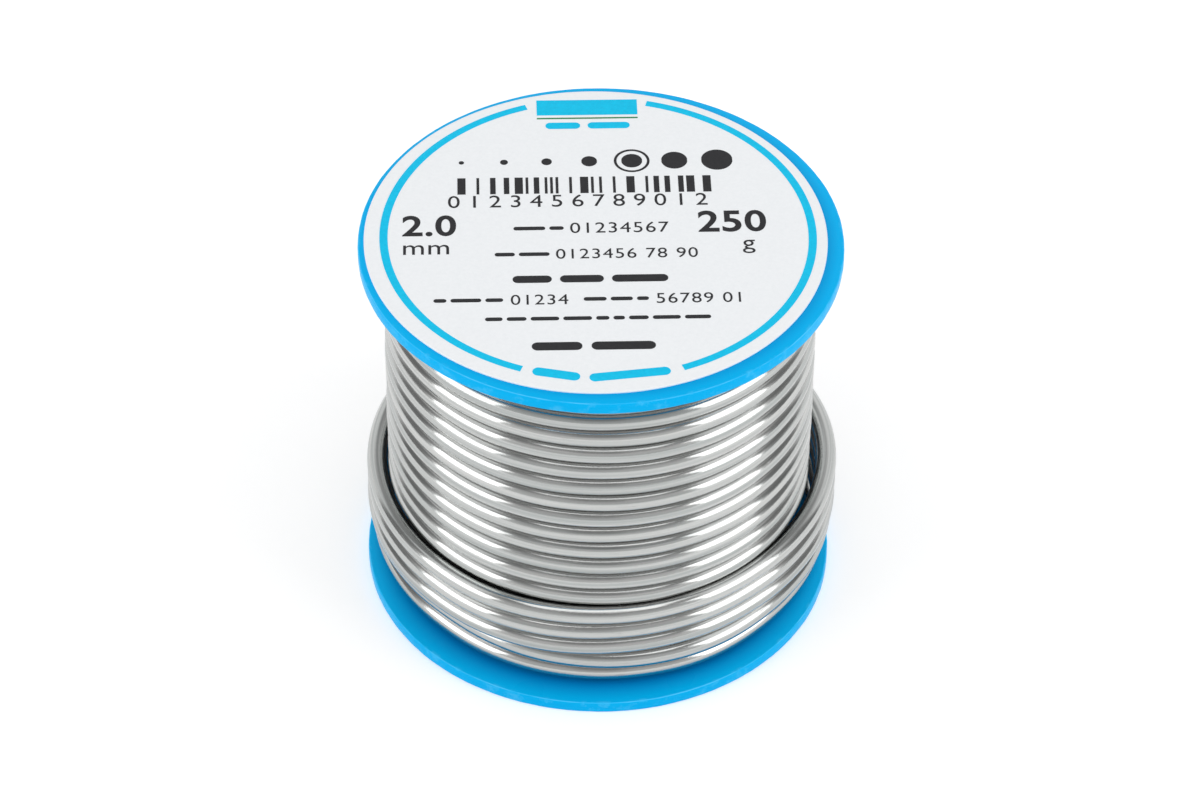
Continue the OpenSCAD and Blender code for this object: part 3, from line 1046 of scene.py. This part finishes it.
floor_material, nodes, links, shader = new_material("white_floor")
shader.inputs["Base Color"].default_value = (FLOOR_GREY, FLOOR_GREY, FLOOR_GREY, 1)
shader.inputs["Roughness"].default_value = 0.9
shader.inputs["Specular IOR Level"].default_value = 0.1
shader.inputs["Emission Color"].default_value = (1, 1, 1, 1)
links.new(seen_only(nodes, links, FLOOR_GLOW), shader.inputs["Emission Strength"])
FLOOR_HALF = 4.0
corners = FLOOR_HALF * np.array([[-1, -1, 0], [1, -1, 0], [1, 1, 0], [-1, 1, 0]])
floor = stage_object("floor", corners, [[0, 1, 2, 3]], floor_material)

world = bpy.data.worlds.new("studio")
bpy.context.scene.world = world
world.use_nodes = True
w_nodes, w_links = world.node_tree.nodes, world.node_tree.links
background = w_nodes["Background"]
background.inputs["Color"].default_value = (1, 1, 1, 1)
world_light = combine(w_nodes, w_links, "MAXIMUM", seen_only(w_nodes, w_links, 1.0), AMBIENT)
w_links.new(world_light, background.inputs["Strength"])


# %% Room for the reflections
FRONT_ELEVATIONS = [-10, 5, 16, 27, 38, 47, 57, 65, 90]
FRONT_LIGHT = [0.86, 0.76, 0.68, 0.62, 0.53, 0.37, 0.26, 0.22, 0.22]


def room_light(way):
    """Brightness of the room in each direction: front, ceiling, backdrop, reflectors, top panel."""
    elevation = np.degrees(np.arcsin(np.clip(way[:, 2], -1, 1)))
    azimuth = np.degrees(np.arctan2(np.abs(way[:, 0]), -way[:, 1]))
    light = np.interp(elevation, FRONT_ELEVATIONS, FRONT_LIGHT)
    backdrop = smooth(azimuth, 110, 122) * (1 - smooth(elevation, 34, 46))
    light += (1.00 - light) * backdrop
    flag = smooth(azimuth, 84, 94) * (1 - smooth(azimuth, 108, 118)) * (1 - smooth(elevation, 32, 48))
    light += (0.26 - light) * flag
    reflector = smooth(azimuth, 55, 72) * (1 - smooth(azimuth, 104, 120))
    reflector *= smooth(elevation, 36, 46) * (1 - smooth(elevation, 60, 70))
    light += (1.15 - light) * reflector
    dim = (1 - smooth(azimuth, 9, 17)) * smooth(elevation, 22, 28) * (1 - smooth(elevation, 42, 48))
    light *= 1 - 0.28 * dim
    up = np.maximum(way[:, 2], 0.05)
    across, ahead = way[:, 0] / up, -way[:, 1] / up
    panel = smooth(across, -0.42, -0.36) * (1 - smooth(across, 0.44, 0.50))
    panel *= smooth(ahead, 0.08, 0.13) * (1 - smooth(ahead, 0.55, 0.62))
    return light + (2.0 - light) * panel


ROOM_RADIUS = 3.0
ROOM_STEPS = (240, 180)
room_az, room_el = np.meshgrid(
    np.linspace(0, 2 * np.pi, ROOM_STEPS[0], endpoint=False),
    np.radians(np.linspace(-89.5, 89.5, ROOM_STEPS[1])),
    indexing="ij",
)
room_way = [np.cos(room_el) * np.cos(room_az), np.cos(room_el) * np.sin(room_az), np.sin(room_el)]
room_points = np.stack(room_way, axis=-1).reshape(-1, 3)
room_material = bpy.data.materials.new("studio_room")
room_material.use_nodes = True
nodes, links = room_material.node_tree.nodes, room_material.node_tree.links
nodes.clear()
room_glow = nodes.new("ShaderNodeEmission")
room_tone = nodes.new("ShaderNodeAttribute")
room_tone.attribute_name = "room_light"
links.new(room_tone.outputs["Fac"], room_glow.inputs["Strength"])
links.new(room_glow.outputs[0], nodes.new("ShaderNodeOutputMaterial").inputs["Surface"])
room_faces = grid_faces(*ROOM_STEPS, close_rows=True)
room = stage_object("studio_room", ROOM_RADIUS * room_points, room_faces, room_material)
room_values = room.data.attributes.new("room_light", "FLOAT", "POINT").data
room_values.foreach_set("value", room_light(room_points).astype(np.float32))
room.visible_camera = False
room.visible_diffuse = False
room.visible_transmission = False
room.visible_shadow = False


# %% Lamps
def soft_lamp(name, azimuth_deg, elevation_deg, distance, width, height, radiance):
    """A rectangular lamp in that direction from the spool, turned to it; azimuth 0 is the front."""
    a, e = math.radians(azimuth_deg), math.radians(elevation_deg)
    back = np.array([math.sin(a) * math.cos(e), -math.cos(a) * math.cos(e), math.sin(e)])
    across = np.array([math.cos(a), math.sin(a), 0.0])
    data = bpy.data.lights.new(name, "AREA")
    data.shape = "RECTANGLE"
    data.size, data.size_y = width, height
    data.energy = radiance * math.pi * width * height
    lamp = bpy.data.objects.new(name, data)
    bpy.context.scene.collection.objects.link(lamp)
    lamp.matrix_world = placed(across, np.cross(back, across), back, back * distance + [0, 0, SPOOL_H / 2])
    return lamp


def placed(x_axis, y_axis, z_axis, place):
    """A 4 x 4 matrix whose columns are three axes and a place."""
    columns = np.stack([x_axis, y_axis, z_axis, place], axis=1)
    return Matrix(np.vstack([columns, [0, 0, 0, 1]]).tolist())


soft_lamp("left_lamp", -65, 18, 0.65, 0.41, 0.42, 2.5)
soft_lamp("right_lamp", 66, 20, 0.65, 0.41, 0.46, 2.5)

# %% [markdown]
# ## Camera
# A long lens from well above the front. The elevation is given in degrees, the distance in
# metres and the slight tilt in radians.

# %% Camera
CAMERA_ELEVATION = math.radians(42.52)
CAMERA_ROLL = -0.0105
CAMERA_DISTANCE = 0.43518
CAMERA_TARGET_Z = 19.694 * MM
CAMERA_X = 0.06 * MM
camera_data = bpy.data.cameras.new("camera")
camera_data.sensor_width = 36.0
camera_data.lens = 135.51
camera_data.clip_start = 0.01
camera_data.clip_end = 20.0
camera = bpy.data.objects.new("camera", camera_data)
bpy.context.scene.collection.objects.link(camera)


def camera_matrix(elevation, roll, distance, target_z):
    """Right and up, turned by roll about the line of sight, backwards, and the place."""
    right = np.array([1.0, 0.0, 0.0])
    forward = np.array([0.0, math.cos(elevation), -math.sin(elevation)])
    up = np.cross(right, forward)
    c, s = math.cos(roll), math.sin(roll)
    place = np.array([CAMERA_X, 0.0, target_z]) - distance * forward
    return placed(c * right - s * up, s * right + c * up, -forward, place)


camera.matrix_world = camera_matrix(CAMERA_ELEVATION, CAMERA_ROLL, CAMERA_DISTANCE, CAMERA_TARGET_Z)
bpy.context.scene.camera = camera
bpy.context.scene.view_settings.view_transform = "Standard"

# %% Sizes and finish
low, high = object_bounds()
print("visual box, mm:", [round(v / MM, 2) for v in (*low, *high)])
